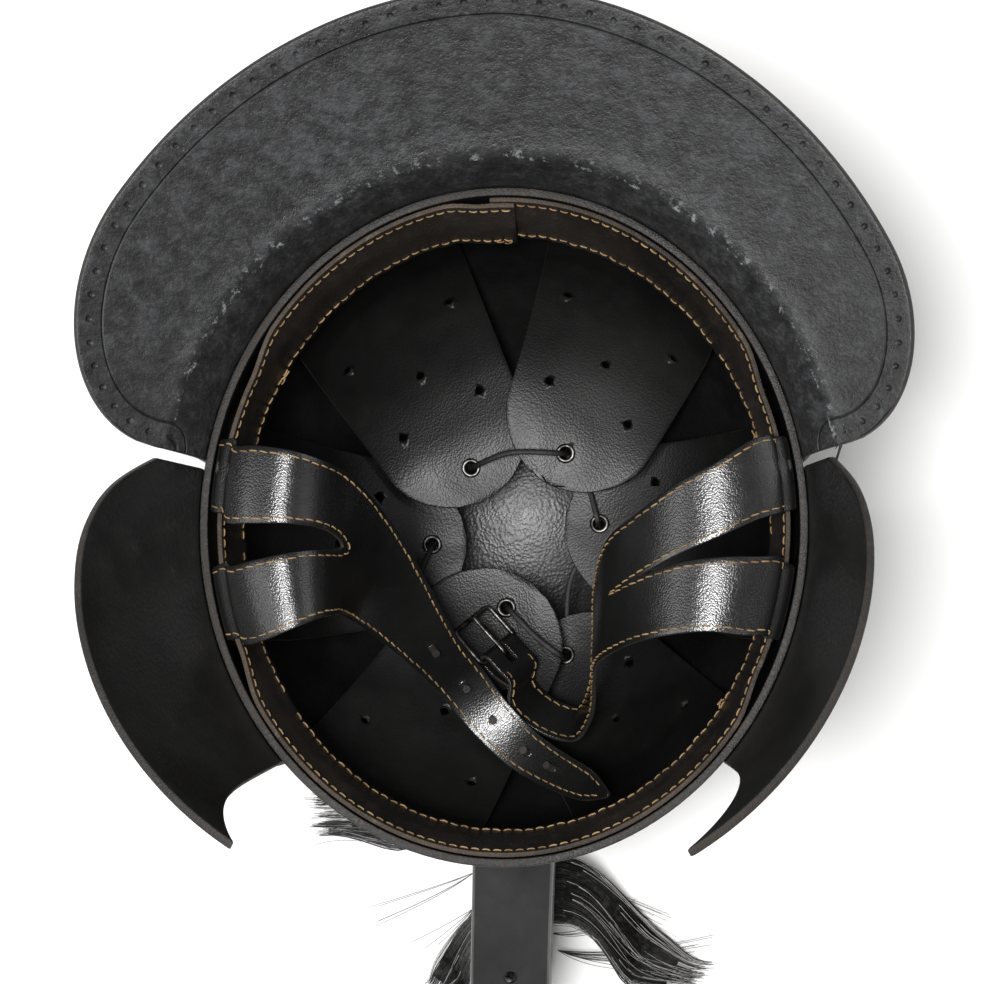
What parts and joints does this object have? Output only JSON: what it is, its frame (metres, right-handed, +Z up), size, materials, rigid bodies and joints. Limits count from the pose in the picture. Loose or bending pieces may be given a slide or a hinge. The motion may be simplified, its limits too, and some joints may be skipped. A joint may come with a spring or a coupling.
{
  "type": "leather greek helmet",
  "caption": "Leather helmet lying upside-down on its horsehair crest, with a wide neck guard, tipped cheek guards, a petal liner, a sweatband and forked chin straps.",
  "frame": {"origin": "middle of the outline on the surface the helmet lies on", "axes": "+Z up out of the opening, -Y towards the front of the helmet, +X towards the wearer's left, which is the right of the picture"},
  "size_m": [0.2902, 0.3748, 0.3018],
  "materials": {
    "black_leather": "smooth black veg-tanned leather, satin",
    "flesh_leather": "rough dyed flesh side, dull",
    "liner_leather": "soft dark leather, dull satin",
    "band_leather": "dark brown leather, satin",
    "strap_leather": "coated black leather, glossy",
    "nickel": "worn nickel plate",
    "dark_steel": "blackened steel",
    "horsehair": "black horsehair, sheen along the strands"
  },
  "bodies": {
    "root": {"skull_bowl": "black_leather", "neck_guard": "flesh_leather", "cheek_guard_left": "black_leather", "cheek_guard_right": "black_leather", "neck_rivet_1": "dark_steel", "neck_rivet_2": "dark_steel", "neck_rivet_3": "dark_steel", "neck_rivet_4": "dark_steel", "neck_rivet_5": "dark_steel", "cheek_rivet_left_1": "dark_steel", "cheek_rivet_left_2": "dark_steel", "cheek_rivet_left_3": "dark_steel", "cheek_rivet_right_1": "dark_steel", "cheek_rivet_right_2": "dark_steel", "cheek_rivet_right_3": "dark_steel", "sweatband": "band_leather", "liner_petal_1": "liner_leather", "liner_petal_2": "liner_leather", "liner_petal_3": "liner_leather", "liner_petal_4": "liner_leather", "liner_petal_5": "liner_leather", "liner_petal_6": "liner_leather", "petal_eyelet_1": "nickel", "petal_eyelet_2": "nickel", "petal_eyelet_3": "nickel", "petal_eyelet_4": "nickel", "petal_eyelet_5": "nickel", "petal_eyelet_6": "nickel", "draw_lace": "strap_leather", "chin_strap_left": "strap_leather", "chin_strap_right": "strap_leather", "buckle_frame": "nickel", "crest_box": "flesh_leather", "crest_rivet": "dark_steel", "crest_hair": "horsehair"},
    "buckle_tongue": {"buckle_tongue": "nickel"}
  },
  "joints": [
    {"name": "buckle_tongue_hinge", "type": "hinge", "parent": "root", "child": "buckle_tongue", "pos_m": [-0.00365, -0.03804, 0.0966], "axis": [0.5714, 0.5116, -0.6417], "range_deg": [0, 100]}
  ]
}
